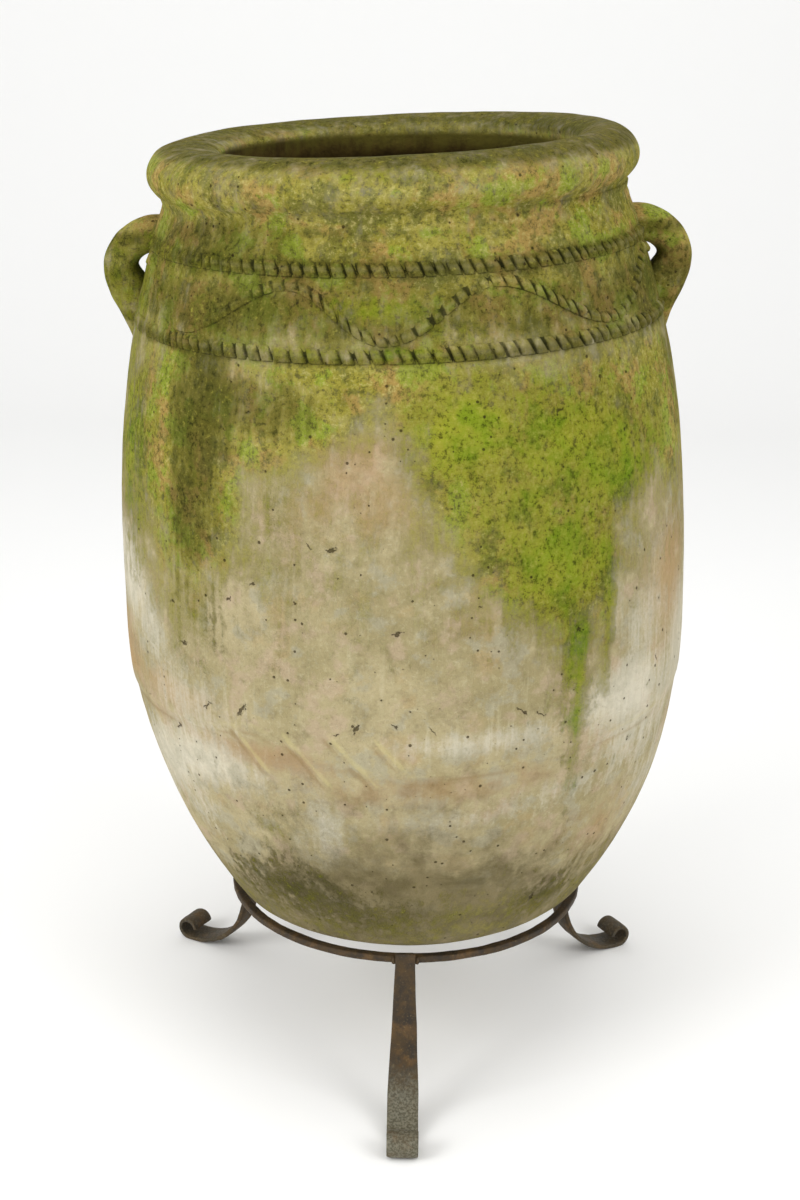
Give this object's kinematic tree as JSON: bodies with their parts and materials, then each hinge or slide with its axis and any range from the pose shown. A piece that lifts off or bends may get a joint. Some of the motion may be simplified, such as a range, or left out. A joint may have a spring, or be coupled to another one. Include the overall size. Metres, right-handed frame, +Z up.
{
  "type": "lugged amphora on stand",
  "caption": "Large weathered terracotta oil jar with a rolled rim, side lugs and notched rope bands, standing in a rusted iron ring stand on scrolled legs.",
  "frame": {"origin": "on the floor, straight under the centre of the stand's ring", "axes": "+Z up; the single front leg points along -Y; +X to the right of someone who faces that leg, with the jar's lugs left and right"},
  "size_m": [0.6253, 0.624, 1.0264],
  "materials": {
    "weathered_terracotta": "matte",
    "mossy_terracotta": "matte",
    "rusted_wrought_iron": "matte"
  },
  "bodies": {
    "stand": {"support_ring": "rusted_wrought_iron", "front_leg": "rusted_wrought_iron", "left_leg": "rusted_wrought_iron", "right_leg": "rusted_wrought_iron", "weld_beads": "rusted_wrought_iron"},
    "jar": {"jar_body": "weathered_terracotta", "rolled_rim": "mossy_terracotta", "upper_rope_band": "mossy_terracotta", "lower_rope_band": "mossy_terracotta", "wave_rope_band": "mossy_terracotta", "left_lug": "mossy_terracotta", "right_lug": "mossy_terracotta"}
  },
  "joints": [
    {"name": "jar_lift", "type": "slide", "parent": "stand", "child": "jar", "axis": [0, 0, 1], "range_m": [0, 0.3]}
  ]
}
